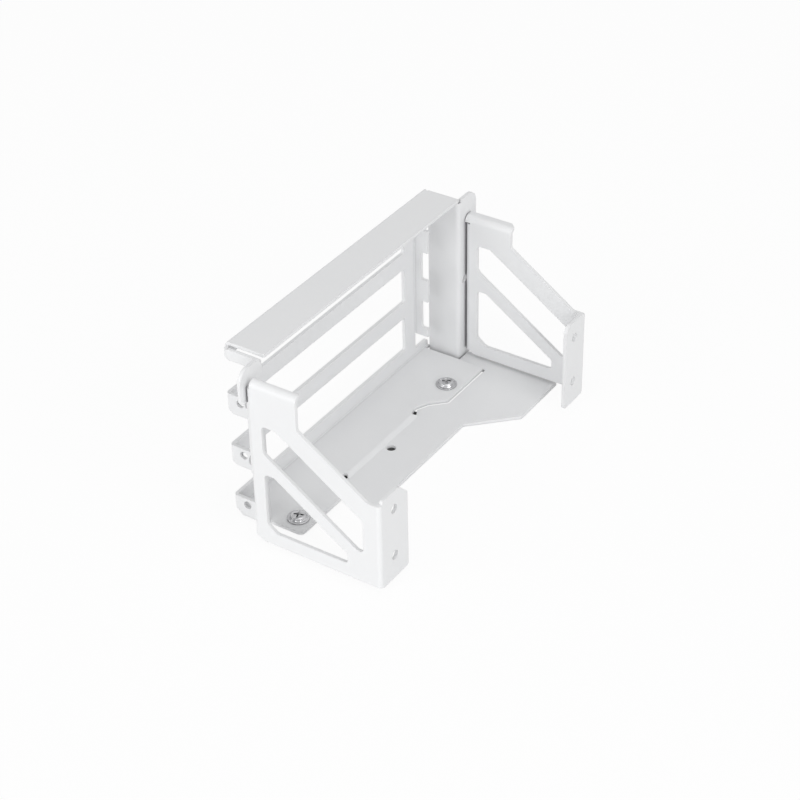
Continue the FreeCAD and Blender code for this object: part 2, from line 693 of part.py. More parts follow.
def press_nut():
    """Round press nut: its barrel fills the flange hole below z = 0 and its collar stands above."""
    collar = Part.makeCylinder(NUT_RADIUS, NUT_HEIGHT)
    rim = [edge for edge in collar.Edges if edge.Closed and edge.CenterOfMass.z > NUT_HEIGHT / 2]
    collar = collar.makeChamfer(NUT_EDGE, rim)
    barrel = Part.makeCylinder(NUT_BARREL_RADIUS, SHEET, Vector(0, 0, -SHEET))
    bore = Part.makeCylinder(THREAD_RADIUS, REACH, Vector(0, 0, -REACH / 2))
    return collar.fuse(barrel).cut(bore).removeSplitter()


def placed(shape, axis, angle, point):
    """Shape turned about an axis through its own origin and moved to a point."""
    result = shape.copy()
    result.rotate(Vector(0, 0, 0), Vector(*axis), angle)
    result.translate(Vector(*point))
    return result


def fixings():
    """Riser screws, arm screws and press nuts by node name."""
    nodes = {}
    washer = Part.makeCylinder(RISER_WASHER_RADIUS, RISER_WASHER_HEIGHT)
    riser_screw = pan_screw(RISER_HEAD_RADIUS, RISER_HEAD_HEIGHT, 2 * SHEET, washer)
    for name, y in riser_screw_spots().items():
        spot = (RISER_SCREW_X, y, 0)
        nodes["riser_screw_" + name] = placed(riser_screw, (0, 0, 1), RISER_SCREW_TURN, spot)
    arm_screw = pan_screw(ARM_HEAD_RADIUS, ARM_HEAD_HEIGHT, 2 * SHEET + NUT_HEIGHT)
    nut = press_nut()
    for end, screws in (("near_", near_arm_screws()), ("far_", far_arm_screws())):
        for level, (y, z) in screws.items():
            head_spot = (STRIP_WIDTH - SHEET, y, z)
            nut_spot = (STRIP_WIDTH + SHEET, y, z)
            nodes["arm_screw_" + end + level] = placed(arm_screw, (0, 1, 0), -90, head_spot)
            nodes["press_nut_" + end + level] = placed(nut, (0, 1, 0), 90, nut_spot)
    return nodes


def main():
    nodes = {"slot_frame": slot_frame(), "near_arm": near_arm(), "far_arm": far_arm()}
    nodes.update(fixings())
    origin = Vector(ARM_FRONT_X / 2, (NEAR_EAR_Y + FAR_EAR_Y) / 2, -2 * SHEET)
    os.makedirs("parts", exist_ok=True)
    for name, shape in nodes.items():
        shape.translate(-origin)
        shape.exportStep("parts/" + name + ".step")
        box = shape.BoundBox
        print(name, shape.isValid(), len(shape.Solids), round(shape.Volume, 1),
              [round(v, 2) for v in (box.XMin, box.YMin, box.ZMin, box.XMax, box.YMax, box.ZMax)])


main()
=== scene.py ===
import logging
import math
from dataclasses import dataclass
from enum import Enum

import bmesh
import bpy
from mathutils import Matrix, Vector


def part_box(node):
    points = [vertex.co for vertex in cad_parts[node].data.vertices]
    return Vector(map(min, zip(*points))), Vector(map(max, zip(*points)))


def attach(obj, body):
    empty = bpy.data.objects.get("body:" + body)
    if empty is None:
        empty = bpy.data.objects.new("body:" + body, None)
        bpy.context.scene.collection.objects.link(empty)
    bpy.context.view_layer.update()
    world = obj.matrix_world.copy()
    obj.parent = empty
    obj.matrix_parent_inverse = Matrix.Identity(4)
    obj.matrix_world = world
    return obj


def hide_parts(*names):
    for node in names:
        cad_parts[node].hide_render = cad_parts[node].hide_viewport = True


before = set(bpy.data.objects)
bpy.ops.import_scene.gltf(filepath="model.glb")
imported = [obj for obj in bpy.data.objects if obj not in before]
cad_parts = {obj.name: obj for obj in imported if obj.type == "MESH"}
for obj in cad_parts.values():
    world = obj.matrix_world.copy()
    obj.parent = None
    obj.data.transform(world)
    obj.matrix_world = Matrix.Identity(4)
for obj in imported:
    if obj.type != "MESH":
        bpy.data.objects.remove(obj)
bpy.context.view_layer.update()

# A powder-coated sheet-metal bracket for a graphics card: finishes, screws, nuts, threads, studio.
# Metres throughout, in the same frame as the solids: +Z up, z = 0 under the shelf.

log = logging.getLogger("bracket")

MM = 0.001
BODY = "root"
SHORTEST_EDGE = 1e-7
EDGE_SAMPLES = 6
CREVICE_SAMPLES = 8
COAT_ROUGHNESS = 0.25
WHITE = (1, 1, 1, 1)


class Facing(Enum):
    """The way that a screw's head looks."""

    UP = "up"
    LEFT = "left"

    def turn(self) -> Matrix:
        """Rotation that takes +Z to the way that the head looks."""
        if self is Facing.UP:
            return Matrix.Identity(4)
        return Matrix.Rotation(math.radians(-90), 4, "Y")


class Slot(Enum):
    """The record's material slots."""

    COAT = "powder_coat"
    SCREW = "screw_steel"
    NUT = "nut_steel"


class Graph:
    """A node tree with short calls to add nodes, set their inputs and link them."""

    def __init__(self, tree: bpy.types.NodeTree) -> None:
        """Takes the tree that the nodes go in."""
        self.tree = tree

    def add(self, kind: str, inputs: dict | None = None, **settings: object) -> bpy.types.Node:
        """Adds one node.

        Args:
            kind: The node's type name.
            inputs: Input name or index to a value, or to an output socket that feeds it.
            **settings: Attributes of the node, such as its operation.

        Returns:
            The new node.
        """
        node = self.tree.nodes.new(kind)
        for name, value in settings.items():
            setattr(node, name, value)
        for name, value in (inputs or {}).items():
            self.feed(node, name, value)
        return node

    def feed(self, node: bpy.types.Node, name: str | int, value: object) -> None:
        """Sets one input to a value, or links an output socket to it."""
        if isinstance(value, bpy.types.NodeSocket):
            self.tree.links.new(value, node.inputs[name])
        else:
            node.inputs[name].default_value = value

    def work_out(self, operation: str, first: object, second: object) -> bpy.types.NodeSocket:
        """Adds one calculation with two values or sockets, and returns its result."""
        return self.add("ShaderNodeMath", {0: first, 1: second}, operation=operation).outputs["Value"]

    def blend(self, share: object, first: object, second: object) -> bpy.types.NodeSocket:
        """Adds one mix of two colours, and returns the mixed colour.

        Args:
            share: Weight of the second colour.
            first: A colour or a socket.
            second: A colour or a socket.

        Returns:
            The socket with the mixed colour.
        """
        mix = self.add("ShaderNodeMix", {0: share, 6: first, 7: second}, data_type="RGBA")
        return mix.outputs[2]


def declare(tree: bpy.types.NodeTree, inputs: dict, outputs: dict) -> None:
    """Gives a node group its named sockets.

    Args:
        tree: The group.
        inputs: Input name to (socket type, default value or None).
        outputs: Output name to socket type.
    """
    for name, (kind, value) in inputs.items():
        socket = tree.interface.new_socket(name, in_out="INPUT", socket_type=kind)
        if value is not None:
            socket.default_value = value
    for name, kind in outputs.items():
        tree.interface.new_socket(name, in_out="OUTPUT", socket_type=kind)


def shader_group(name: str, inputs: dict, outputs: dict) -> tuple[Graph, bpy.types.Node, bpy.types.Node]:
    """Starts a shader node group.

    Args:
        name: The group's name.
        inputs: As in declare.
        outputs: As in declare.

    Returns:
        The group as a graph, its input node and its output node.
    """
    tree = bpy.data.node_groups.new(name, "ShaderNodeTree")
    declare(tree, inputs, outputs)
    graph = Graph(tree)
    return graph, graph.add("NodeGroupInput"), graph.add("NodeGroupOutput")


def mottled_surface() -> bpy.types.NodeTree:
    """Shader group for cloudy colour, uneven gloss and a fine relief, from Object coordinates.

    Returns:
        The group, with the outputs Color, Roughness and Height.
    """
    graph, given, made = shader_group(
        "mottled surface",
        {
            "Vector": ("NodeSocketVector", None),
            "Light Color": ("NodeSocketColor", (0.8, 0.8, 0.8, 1)),
            "Deep Color": ("NodeSocketColor", (0.7, 0.7, 0.7, 1)),
            "Cloud Scale": ("NodeSocketFloat", 60.0),
            "Grain Scale": ("NodeSocketFloat", 1500.0),
            "Smooth Roughness": ("NodeSocketFloat", 0.4),
            "Matt Roughness": ("NodeSocketFloat", 0.5),
        },
        {"Color": "NodeSocketColor", "Roughness": "NodeSocketFloat", "Height": "NodeSocketFloat"},
    )
    place = given.outputs["Vector"]
    clouds = graph.add("ShaderNodeTexNoise", {
        "Vector": place, "Scale": given.outputs["Cloud Scale"], "Detail": 3.0, "Roughness": 0.6,
    })
    grain = graph.add("ShaderNodeTexNoise", {
        "Vector": place, "Scale": given.outputs["Grain Scale"], "Detail": 2.0, "Roughness": 0.45,
    })
    tone = graph.blend(clouds.outputs["Fac"], given.outputs["Light Color"], given.outputs["Deep Color"])
    gloss = graph.add("ShaderNodeMapRange", {
        "Value": grain.outputs["Fac"], "From Min": 0.3, "From Max": 0.7,
        "To Min": given.outputs["Smooth Roughness"], "To Max": given.outputs["Matt Roughness"],
    })
    graph.feed(made, "Color", tone)
    graph.feed(made, "Roughness", gloss.outputs["Result"])
    graph.feed(made, "Height", grain.outputs["Fac"])
    return graph.tree


def soft_edges() -> bpy.types.NodeTree:
    """Shader group that rounds the light on sharp edges and marks where those edges are, for a painted
    highlight.

    Returns:
        The group, with the outputs Normal and Mask.
    """
    graph, given, made = shader_group(
        "soft edges",
        {"Radius": ("NodeSocketFloat", 0.0002), "Reach": ("NodeSocketFloat", 0.15)},
        {"Normal": "NodeSocketVector", "Mask": "NodeSocketFloat"},
    )
    rounded = graph.add("ShaderNodeBevel", {"Radius": given.outputs["Radius"]}, samples=EDGE_SAMPLES)
    face = graph.add("ShaderNodeNewGeometry")
    match = graph.add("ShaderNodeVectorMath", {
        0: rounded.outputs["Normal"], 1: face.outputs["True Normal"],
    }, operation="DOT_PRODUCT")
    mask = graph.add("ShaderNodeMapRange", {
        "Value": graph.work_out("SUBTRACT", 1.0, match.outputs["Value"]),
        "From Min": 0.0,
        "From Max": given.outputs["Reach"],
        "To Min": 0.0,
        "To Max": 1.0,
    })
    graph.feed(made, "Normal", rounded.outputs["Normal"])
    graph.feed(made, "Mask", mask.outputs["Result"])
    return graph.tree


def crevices() -> bpy.types.NodeTree:
    """Shader group that marks what lies deep in a hole, a recess or a seam, where painted shade goes.

    Returns:
        The group, with the output Mask.
    """
    graph, given, made = shader_group(
        "crevices",
        {
            "Depth": ("NodeSocketFloat", 0.001),
            "Open": ("NodeSocketFloat", 0.7),
            "Closed": ("NodeSocketFloat", 0.1),
        },
        {"Mask": "NodeSocketFloat"},
    )
    sky = graph.add("ShaderNodeAmbientOcclusion", {
        "Distance": given.outputs["Depth"],
    }, samples=CREVICE_SAMPLES)
    mask = graph.add("ShaderNodeMapRange", {
        "Value": sky.outputs["AO"],
        "From Min": given.outputs["Closed"],
        "From Max": given.outputs["Open"],
        "To Min": 1.0,
        "To Max": 0.0,
    })
    graph.feed(made, "Mask", mask.outputs["Result"])
    return graph.tree


@dataclass(frozen=True)
class Finish:
    """One surface finish: colours, gloss, relief, a painted highlight on its edges and painted shade in
    its crevices.
    """

    name: str
    light: tuple[float, float, float]
    deep: tuple[float, float, float]
    # Colour of the painted highlight along sharp edges.
    edge: tuple[float, float, float]
    # Colour of the painted shade deep in holes, recesses and seams.
    painted_crevice_shade: tuple[float, float, float]
    crevice_depth: float
    smooth: float
    matt: float
    cloud_scale: float
    grain_scale: float
    grain_height: float
    edge_radius: float
    metallic: float = 0.0
    coat: float = 0.0

    def material(
        self, surface: bpy.types.NodeTree, edges: bpy.types.NodeTree, shade: bpy.types.NodeTree,
    ) -> bpy.types.Material:
        """Builds the finish as a material.

        Args:
            surface: The group made by mottled_surface.
            edges: The group made by soft_edges.
            shade: The group made by crevices.

        Returns:
            The material.
        """
        made = bpy.data.materials.new(self.name)
        made.use_nodes = True
        made.node_tree.nodes.clear()
        graph = Graph(made.node_tree)
        place = graph.add("ShaderNodeTexCoord")
        skin = graph.add("ShaderNodeGroup", node_tree=surface)
        for name, value in {
            "Vector": place.outputs["Object"],
            "Light Color": (*self.light, 1),
            "Deep Color": (*self.deep, 1),
            "Cloud Scale": self.cloud_scale,
            "Grain Scale": self.grain_scale,
            "Smooth Roughness": self.smooth,
            "Matt Roughness": self.matt,
        }.items():
            graph.feed(skin, name, value)
        rim = graph.add("ShaderNodeGroup", node_tree=edges)
        graph.feed(rim, "Radius", self.edge_radius)
        # Painted highlight: a lighter colour along sharp edges, where the soft-edge mask is high.
        tone = graph.blend(rim.outputs["Mask"], skin.outputs["Color"], (*self.edge, 1))
        # Painted shade: the crevices mask darkens the colour in holes, recesses and seams, where shade
        # falls.
        deep = graph.add("ShaderNodeGroup", node_tree=shade)
        graph.feed(deep, "Depth", self.crevice_depth)
        relief = graph.add("ShaderNodeBump", {
            "Strength": 1.0, "Distance": self.grain_height,
            "Height": skin.outputs["Height"], "Normal": rim.outputs["Normal"],
        })
        shader = graph.add("ShaderNodeBsdfPrincipled", {
            "Base Color": graph.blend(deep.outputs["Mask"], tone, (*self.painted_crevice_shade, 1)),
            "Roughness": skin.outputs["Roughness"],
            "Metallic": self.metallic,
            "Coat Weight": self.coat,
            "Coat Roughness": COAT_ROUGHNESS,
            "Normal": relief.outputs["Normal"],
        })
        graph.add("ShaderNodeOutputMaterial", {"Surface": shader.outputs["BSDF"]})
        return made


# In each finish below, the edge colour is a painted highlight along sharp edges and the crevice colour
# is painted shade deep in holes and recesses.
POWDER_COAT = Finish(
    name="white powder coat",
    light=(0.80, 0.805, 0.81),
    deep=(0.775, 0.78, 0.79),
    edge=(0.86, 0.862, 0.865),
    painted_crevice_shade=(0.34, 0.34, 0.35),
    crevice_depth=2.4 * MM,
    smooth=0.34,
    matt=0.46,
    cloud_scale=45.0,
    grain_scale=1500.0,
    grain_height=0.012 * MM,
    edge_radius=0.25 * MM,
    coat=0.12,
)
PLATED_SCREW = Finish(
    name="bright plated screw steel",
    light=(0.60, 0.60, 0.61),
    deep=(0.46, 0.46, 0.47),
    edge=(0.74, 0.74, 0.75),
    painted_crevice_shade=(0.03, 0.03, 0.03),
    crevice_depth=0.9 * MM,
    smooth=0.14,
    matt=0.26,
    cloud_scale=500.0,
    grain_scale=6000.0,
    grain_height=0.003 * MM,
    edge_radius=0.08 * MM,
    metallic=1.0,
)
PLATED_NUT = Finish(
    name="plated nut steel",
    light=(0.63, 0.63, 0.62),
    deep=(0.50, 0.50, 0.49),
    edge=(0.74, 0.74, 0.73),
    painted_crevice_shade=(0.20, 0.20, 0.20),
    crevice_depth=0.8 * MM,
    smooth=0.22,
    matt=0.36,
    cloud_scale=400.0,
    grain_scale=5000.0,
    grain_height=0.003 * MM,
    edge_radius=0.08 * MM,
    metallic=1.0,
)
FINISHES = {Slot.COAT: POWDER_COAT, Slot.SCREW: PLATED_SCREW, Slot.NUT: PLATED_NUT}


class Workshop:
    """Makes the materials once and finishes pieces with them."""

    def __init__(self) -> None:
        """Builds the shared groups and every material."""
        surface = mottled_surface()
        edges = soft_edges()
        shade = crevices()
        self.materials = {
            slot: finish.material(surface, edges, shade) for slot, finish in FINISHES.items()
        }

    def dress(self, node: str, slot: Slot) -> None:
        """Gives a solid of the frame its material."""
        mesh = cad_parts[node].data
        mesh.materials.clear()
        mesh.materials.append(self.materials[slot])
        log.info("dressed %s in %s", node, slot.value)

    def deliver(self, name: str, mesh: bpy.types.Mesh, slot: Slot, replaced: str = "") -> None:
        """Turns a mesh into a finished piece of the object.

        Args:
            name: The piece's name.
            mesh: Its mesh, already in place.
            slot: Its material slot.
            replaced: The solid that it stands for, or nothing.
        """
        piece = bpy.data.objects.new(name, mesh)
        bpy.context.scene.collection.objects.link(piece)
        mesh.materials.clear()
        mesh.materials.append(self.materials[slot])
        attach(piece, BODY)
        if replaced:
            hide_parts(replaced)
        log.info("built %s with %d faces", name, len(mesh.polygons))


def lathe(shape: bmesh.types.BMesh, profile: list[tuple[float, float]], steps: int) -> None:
    """Turns a closed profile about +Z into a solid.

    Args:
        shape: Takes the new faces.
        profile: (radius, height) from the lower end of the axis to its upper end, where a radius of 0
            is a point on the axis.
        steps: Number of facets round the axis.
    """
    rings = []
    for radius, height in profile:
        if radius == 0:
            rings.append([shape.verts.new((0, 0, height))])
            continue
        ring = []
        for step in range(steps):
            angle = math.tau * step / steps
            ring.append(shape.verts.new((radius * math.cos(angle), radius * math.sin(angle), height)))
        rings.append(ring)
    for low, high in zip(rings, rings[1:]):
        for step in range(steps):
            following = (step + 1) % steps
            corners = [low[step % len(low)], low[following % len(low)]]
            corners += [high[following % len(high)], high[step % len(high)]]
            shape.faces.new(list(dict.fromkeys(corners)))


def arc(centre: tuple[float, float], radius: float, start: float, stop: float, steps: int) -> list:
    """Points of an arc in a profile.

    Args:
        centre: Its centre as (radius, height).
        radius: Its own radius.
        start: First angle in degrees, from the outward direction towards +Z.
        stop: Last angle in degrees.
        steps: Number of chords.

    Returns:
        The points as (radius, height).
    """
    points = []
    for step in range(steps + 1):
        angle = math.radians(start + (stop - start) * step / steps)
        points.append((centre[0] + radius * math.cos(angle), centre[1] + radius * math.sin(angle)))
    return points


def shaded(shape: bmesh.types.BMesh, name: str, sharp_degrees: float) -> bpy.types.Mesh:
    """Mesh of a shape, smooth except across edges sharper than an angle.

    Args:
        shape: The shape, which is freed.
        name: The mesh's name.
        sharp_degrees: The angle.

    Returns:
        The mesh.
    """
    bmesh.ops.remove_doubles(shape, verts=shape.verts, dist=SHORTEST_EDGE)
    bmesh.ops.recalc_face_normals(shape, faces=shape.faces)
    for face in shape.faces:
        face.smooth = True
    limit = math.radians(sharp_degrees)
    for edge in shape.edges:
        edge.smooth = len(edge.link_faces) == 2 and edge.calc_face_angle() < limit
    mesh = bpy.data.meshes.new(name)
    shape.to_mesh(mesh)
    shape.free()
    return mesh


def carved(body: bpy.types.Mesh, cutters: list[bpy.types.Mesh], name: str) -> bpy.types.Mesh:
    """A mesh with others cut out of it.

    Args:
        body: The mesh that is cut, which is removed.
        cutters: Closed meshes, which are removed.
        name: The result's name.

    Returns:
        The cut mesh.
    """
    made = bpy.data.objects.new(name, body)
    bpy.context.scene.collection.objects.link(made)
    tools = []
    for cutter in cutters:
        tool = bpy.data.objects.new(cutter.name, cutter)
        bpy.context.scene.collection.objects.link(tool)
        tools.append(tool)
        cut = made.modifiers.new("cut", "BOOLEAN")
        cut.operation = "DIFFERENCE"
        cut.solver = "EXACT"
        cut.object = tool
    bpy.context.view_layer.update()
    depsgraph = bpy.context.evaluated_depsgraph_get()
    result = bpy.data.meshes.new_from_object(made.evaluated_get(depsgraph))
    for item in [made, *tools]:
        bpy.data.objects.remove(item)
    for mesh in [body, *cutters]:
        bpy.data.meshes.remove(mesh)
    result.name = name
    return result


@dataclass(frozen=True)
class PanScrew:
    """A pan-head screw with a rimmed dome, a cross recess and, where it has one, a washer face."""

    node: str
    facing: Facing
    head_radius: float
    head_height: float
    spin: float
    washer_radius: float = 0.0
    washer_height: float = 0.5 * MM
    washer_edge: float = 0.12 * MM
    shank_radius: float = 1.5 * MM
    rim_height: float = 0.35 * MM
    rim_upright_share: float = 0.6
    rim_inset_share: float = 0.4
    rim_lead_share: float = 0.3
    rim_lead_rise: float = 1.2
    dome_share: float = 0.9
    crown_radius: float = 0.7 * MM
    crown_top_share: float = 0.94
    crown_sweep: float = 62.0
    crown_chords: int = 6
    cap_share: float = 0.4
    cap_height_share: float = 0.985
    recess_margin: float = 0.9 * MM
    recess_width: float = 0.85 * MM
    recess_depth: float = 1.0 * MM
    recess_floor_share: float = 0.42
    recess_mouth_share: float = 1.1
    recess_mouth_rise: float = 1.2
    tip_chamfer: float = 0.25 * MM
    sharp_degrees: float = 30.0
    facets: int = 72

    def seat(self) -> tuple[Vector, float]:
        """Where the head's underside meets the sheet, and how long the shank is.

        Returns:
            The point in the row frame, and the length.
        """
        low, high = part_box(self.node)
        middle = (low + high) / 2
        if self.facing is Facing.UP:
            length = high.z - low.z - self.head_height
            return Vector((middle.x, middle.y, high.z - self.head_height)), length
        length = high.x - low.x - self.head_height
        return Vector((low.x + self.head_height, middle.y, middle.z)), length

    def rim(self) -> list[tuple[float, float]]:
        """Outline of the widest part of the head: a washer face, or the plain head's rounded rim."""
        if self.washer_radius:
            inset = self.washer_radius - self.washer_edge
            top = self.washer_height
            return [
                (inset, 0),
                (self.washer_radius, self.washer_edge),
                (self.washer_radius, top - self.washer_edge),
                (inset, top),
                (self.head_radius, top),
            ]
        top = self.rim_height
        lead = self.head_radius * self.dome_share + top * self.rim_lead_share
        return [
            (self.head_radius, 0),
            (self.head_radius, top * self.rim_upright_share),
            (self.head_radius - top * self.rim_inset_share, top),
            (lead, top * self.rim_lead_rise),
        ]

    def profile(self, length: float) -> list[tuple[float, float]]:
        """Outline of the turned screw, from its tip up to the top of its dome."""
        dome = self.head_radius * self.dome_share
        crown = self.crown_radius
        points = [
            (0, -length),
            (self.shank_radius - self.tip_chamfer, -length),
            (self.shank_radius, self.tip_chamfer - length),
            (self.shank_radius, 0),
        ]
        points += self.rim()
        centre = (dome - crown, self.head_height * self.crown_top_share - crown)
        points += arc(centre, crown, 0, self.crown_sweep, self.crown_chords)
        points.append((dome * self.cap_share, self.head_height * self.cap_height_share))
        points.append((0, self.head_height))
        return points

    def recess(self, along: float, across: float) -> bpy.types.Mesh:
        """Tapered cutter for one bar of the cross.

        Args:
            along: Its size along X at the mouth.
            across: Its size along Y at the mouth.

        Returns:
            The cutter, closed and narrower at its floor.
        """
        shape = bmesh.new()
        floor = self.head_height - self.recess_depth
        mouth = self.head_height * self.recess_mouth_rise
        levels = ((floor, self.recess_floor_share), (mouth, self.recess_mouth_share))
        rings = []
        for height, share in levels:
            half_x, half_y = along * share / 2, across * share / 2
            corners = ((-half_x, -half_y), (half_x, -half_y), (half_x, half_y), (-half_x, half_y))
            rings.append([shape.verts.new((x, y, height)) for x, y in corners])
        shape.faces.new(rings[0][::-1])
        shape.faces.new(rings[1])
        for step in range(4):
            following = (step + 1) % 4
            shape.faces.new((rings[0][step], rings[0][following], rings[1][following], rings[1][step]))
        mesh = bpy.data.meshes.new("recess bar")
        shape.to_mesh(mesh)
        shape.free()
        return mesh

    def build(self, shop: Workshop) -> None:
        """Builds the screw in place of its plain solid."""
        seat, length = self.seat()
        shape = bmesh.new()
        lathe(shape, self.profile(length), self.facets)
        turned = shaded(shape, self.node, self.sharp_degrees)
        span = 2 * (self.head_radius - self.recess_margin)
        bars = [self.recess(span, self.recess_width), self.recess(self.recess_width, span)]
        name = self.node + "_detail"
        mesh = carved(turned, bars, name)
        spun = Matrix.Rotation(self.spin, 4, "Z")
        mesh.transform(Matrix.Translation(seat) @ self.facing.turn() @ spun)
        shop.deliver(name, mesh, Slot.SCREW, self.node)


@dataclass(frozen=True)
class PressNut:
    """A round press nut: a chamfered collar on the sheet and a barrel through it."""

    node: str
    radius: float = 2.55 * MM
    collar: float = 1.5 * MM
    barrel_radius: float = 2.1 * MM
    bore_radius: float = 1.5 * MM
    chamfer: float = 0.25 * MM
    mouth: float = 0.2 * MM
    sharp_degrees: float = 25.0
    facets: int = 64

    def build(self, shop: Workshop) -> None:
        """Builds the nut in place of its plain solid."""
        low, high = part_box(self.node)
        middle = (low + high) / 2
        face = high.x
        foot = face - self.collar
        shape = bmesh.new()
        outline = [
            (self.bore_radius, low.x),
            (self.barrel_radius, low.x),
            (self.barrel_radius, foot),
            (self.radius, foot),
            (self.radius, face - self.chamfer),
            (self.radius - self.chamfer, face),
            (self.bore_radius + self.mouth, face),
            (self.bore_radius, face - self.mouth),
            (self.bore_radius, low.x),
        ]
        lathe(shape, outline, self.facets)
        along_x = Matrix.Rotation(math.radians(90), 4, "Y")
        shape.transform(Matrix.Translation((0, middle.y, middle.z)) @ along_x)
        name = self.node + "_detail"
        shop.deliver(name, shaded(shape, name, self.sharp_degrees), Slot.NUT, self.node)


@dataclass(frozen=True)
class TappedHoles:
    """The threads in the screw tabs' holes, one helix for each tab, made by Geometry Nodes."""

    name: str = "tab_threads"
    count: int = 3
    spacing: float = 20.32 * MM
    radius: float = 1.45 * MM
    pitch: float = 0.5 * MM
    ridge: float = 0.2 * MM
    depth: float = 1.2 * MM
    chords: int = 40
    section_corners: int = 4

    def tree(self) -> bpy.types.NodeTree:
        """Geometry Nodes tree of one helix, repeated along a line.

        Returns:
            The tree, with its sizes as named inputs.
        """
        made = bpy.data.node_groups.new("tapped holes", "GeometryNodeTree")
        run = self.depth - 2 * self.ridge
        declare(made, {
            "Geometry": ("NodeSocketGeometry", None),
            "Count": ("NodeSocketInt", self.count),
            "Spacing": ("NodeSocketVector", (0, 0, self.spacing)),
            "Radius": ("NodeSocketFloat", self.radius),
            "Ridge": ("NodeSocketFloat", self.ridge),
            "Depth": ("NodeSocketFloat", run),
            "Turns": ("NodeSocketFloat", run / self.pitch),
            "Start": ("NodeSocketVector", (0, 0, 0)),
            "Material": ("NodeSocketMaterial", None),
        }, {"Geometry": "NodeSocketGeometry"})
        graph = Graph(made)
        given = graph.add("NodeGroupInput").outputs
        helix = graph.add("GeometryNodeCurveSpiral", {
            "Resolution": self.chords,
            "Rotations": given["Turns"],
            "Start Radius": given["Radius"],
            "End Radius": given["Radius"],
            "Height": given["Depth"],
        })
        section = graph.add("GeometryNodeCurvePrimitiveCircle", {
            "Resolution": self.section_corners, "Radius": given["Ridge"],
        })
        thread = graph.add("GeometryNodeCurveToMesh", {
            "Curve": helix.outputs["Curve"],
            "Profile Curve": section.outputs["Curve"],
            "Fill Caps": True,
        })
        laid = graph.add("GeometryNodeTransform", {
            "Geometry": thread.outputs["Mesh"], "Rotation": (math.radians(-90), 0, 0),
        })
        row = graph.add("GeometryNodeMeshLine", {
            "Count": given["Count"], "Start Location": given["Start"], "Offset": given["Spacing"],
        })
        copies = graph.add("GeometryNodeInstanceOnPoints", {
            "Points": row.outputs["Mesh"], "Instance": laid.outputs["Geometry"],
        })
        real = graph.add("GeometryNodeRealizeInstances", {"Geometry": copies.outputs["Instances"]})
        coated = graph.add("GeometryNodeSetMaterial", {
            "Geometry": real.outputs["Geometry"], "Material": given["Material"],
        })
        graph.add("NodeGroupOutput", {"Geometry": coated.outputs["Geometry"]})
        return made

    def build(self, shop: Workshop, lowest: Vector) -> None:
        """Builds every thread as one mesh.

        Args:
            shop: Finishes the piece.
            lowest: The middle of the lowest hole, at its outer face.
        """
        carrier = bpy.data.objects.new("thread carrier", bpy.data.meshes.new("thread carrier"))
        bpy.context.scene.collection.objects.link(carrier)
        modifier = carrier.modifiers.new("threads", "NODES")
        modifier.node_group = self.tree()
        chosen = {
            "Start": tuple(lowest + Vector((0, self.ridge, 0))),
            "Material": shop.materials[Slot.COAT],
        }
        for socket in modifier.node_group.interface.items_tree:
            if socket.in_out == "INPUT" and socket.name in chosen:
                modifier[socket.identifier] = chosen[socket.name]
        bpy.context.view_layer.update()
        depsgraph = bpy.context.evaluated_depsgraph_get()
        mesh = bpy.data.meshes.new_from_object(carrier.evaluated_get(depsgraph))
        mesh.name = self.name
        carrier.modifiers.clear()
        bpy.data.objects.remove(carrier)
        shop.deliver(self.name, mesh, Slot.COAT)


@dataclass
class SlottedFrame:
    """The folded frame: its coat, the threads in its tabs and the two riser screws."""

    tab_hole: tuple[float, float, float] = (-26.55 * MM, -58.1 * MM, 5.71 * MM)
    head_radius: float = 3.0 * MM
    head_height: float = 1.7 * MM
    washer_radius: float = 3.8 * MM
    screw_spins: tuple[float, float] = (22.0, 36.0)

    def build(self, shop: Workshop) -> None:
        """Dresses the frame and builds what sits in it."""
        shop.dress("slot_frame", Slot.COAT)
        TappedHoles().build(shop, Vector(self.tab_hole))
        for end, spin in zip(("near", "far"), self.screw_spins):
            PanScrew(
                node="riser_screw_" + end,
                facing=Facing.UP,
                head_radius=self.head_radius,
                head_height=self.head_height,
                spin=math.radians(spin),
                washer_radius=self.washer_radius,
            ).build(shop)


@dataclass
class TrussArm:
    """One folded arm with the screws and press nuts that hold it."""

    end: str
    head_radius: float = 2.6 * MM
    head_height: float = 1.6 * MM
    spins: tuple[float, float] = (12.0, 57.0)

    def build(self, shop: Workshop) -> None:
        """Dresses the arm and builds its fixings."""
        shop.dress(self.end + "_arm", Slot.COAT)
        for level, spin in zip(("lower", "upper"), self.spins):
            name = f"{self.end}_{level}"
            PanScrew(
                node="arm_screw_" + name,
                facing=Facing.LEFT,
                head_radius=self.head_radius,
                head_height=self.head_height,
                spin=math.radians(spin),
            ).build(shop)
            PressNut(node="press_nut_" + name).build(shop)


